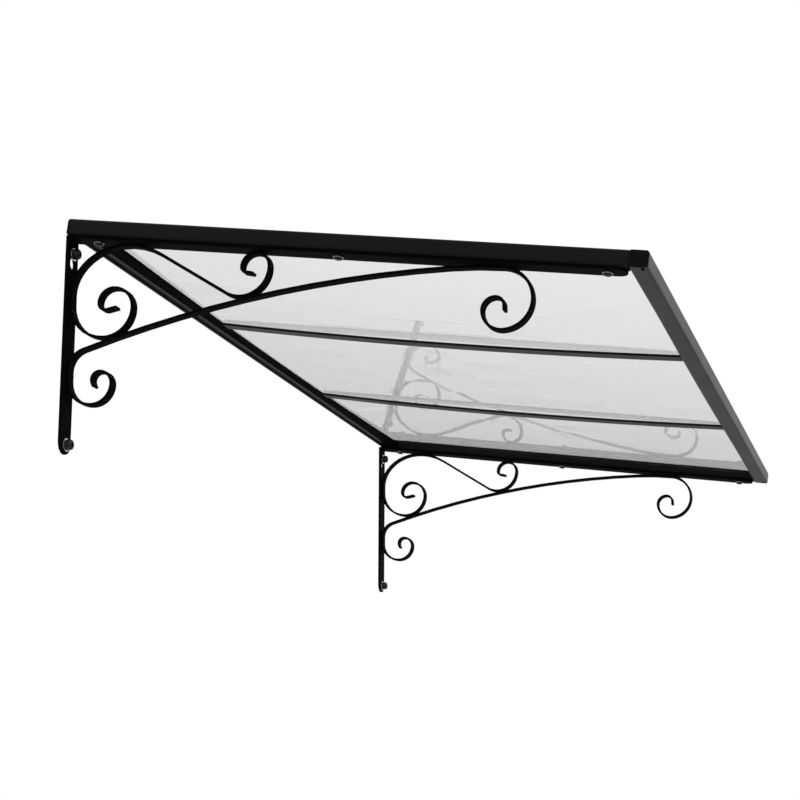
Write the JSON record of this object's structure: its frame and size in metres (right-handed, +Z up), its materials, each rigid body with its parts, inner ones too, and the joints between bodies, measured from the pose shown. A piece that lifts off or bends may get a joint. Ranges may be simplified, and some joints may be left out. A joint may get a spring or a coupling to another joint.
{
  "type": "door canopy",
  "caption": "Wall-mounted door canopy: a clear sheet in a sloping black tubular frame, carried by flat-bar brackets with scrollwork.",
  "frame": {"origin": "on the wall plane, in the middle of the width, at the height where the underside of the bracket arms would meet the wall", "axes": "+X along the wall to the right as seen by someone who faces the wall, +Y into the wall, +Z up; the canopy reaches out to -Y and falls to the front"},
  "size_m": [1.2, 0.6122, 0.2503],
  "materials": {
    "black_paint": "satin powder coat",
    "clear_sheet": "clear polycarbonate",
    "plug_plastic": "moulded black plastic",
    "seal_rubber": "matte black rubber",
    "black_bolt": "blackened steel",
    "washer_steel": "zinc-plated steel"
  },
  "bodies": {
    "root": {"side_rail_left": "black_paint", "side_rail_right": "black_paint", "front_rail": "black_paint", "back_rail": "black_paint", "glazing_bar_left": "black_paint", "glazing_bar_right": "black_paint", "post_left": "black_paint", "post_right": "black_paint", "arm_left": "black_paint", "arm_right": "black_paint", "arch_scroll_left": "black_paint", "arch_scroll_right": "black_paint", "upper_scroll_left": "black_paint", "upper_scroll_right": "black_paint", "roof_sheet": "clear_sheet", "wall_seal": "seal_rubber", "front_plug_left": "plug_plastic", "front_plug_right": "plug_plastic", "wall_plug_left": "plug_plastic", "wall_plug_right": "plug_plastic", "wall_bolt_upper_left": "black_bolt", "wall_bolt_upper_right": "black_bolt", "wall_bolt_lower_left": "black_bolt", "wall_bolt_lower_right": "black_bolt", "rail_bolt_back_left": "black_bolt", "rail_bolt_back_right": "black_bolt", "rail_bolt_middle_left": "black_bolt", "rail_bolt_middle_right": "black_bolt", "rail_bolt_front_left": "black_bolt", "rail_bolt_front_right": "black_bolt", "washer_back_left": "washer_steel", "washer_back_right": "washer_steel", "washer_middle_left": "washer_steel", "washer_middle_right": "washer_steel", "washer_front_left": "washer_steel", "washer_front_right": "washer_steel", "wall_washer_upper_left": "washer_steel", "wall_washer_upper_right": "washer_steel", "wall_washer_lower_left": "washer_steel", "wall_washer_lower_right": "washer_steel"}
  },
  "joints": []
}
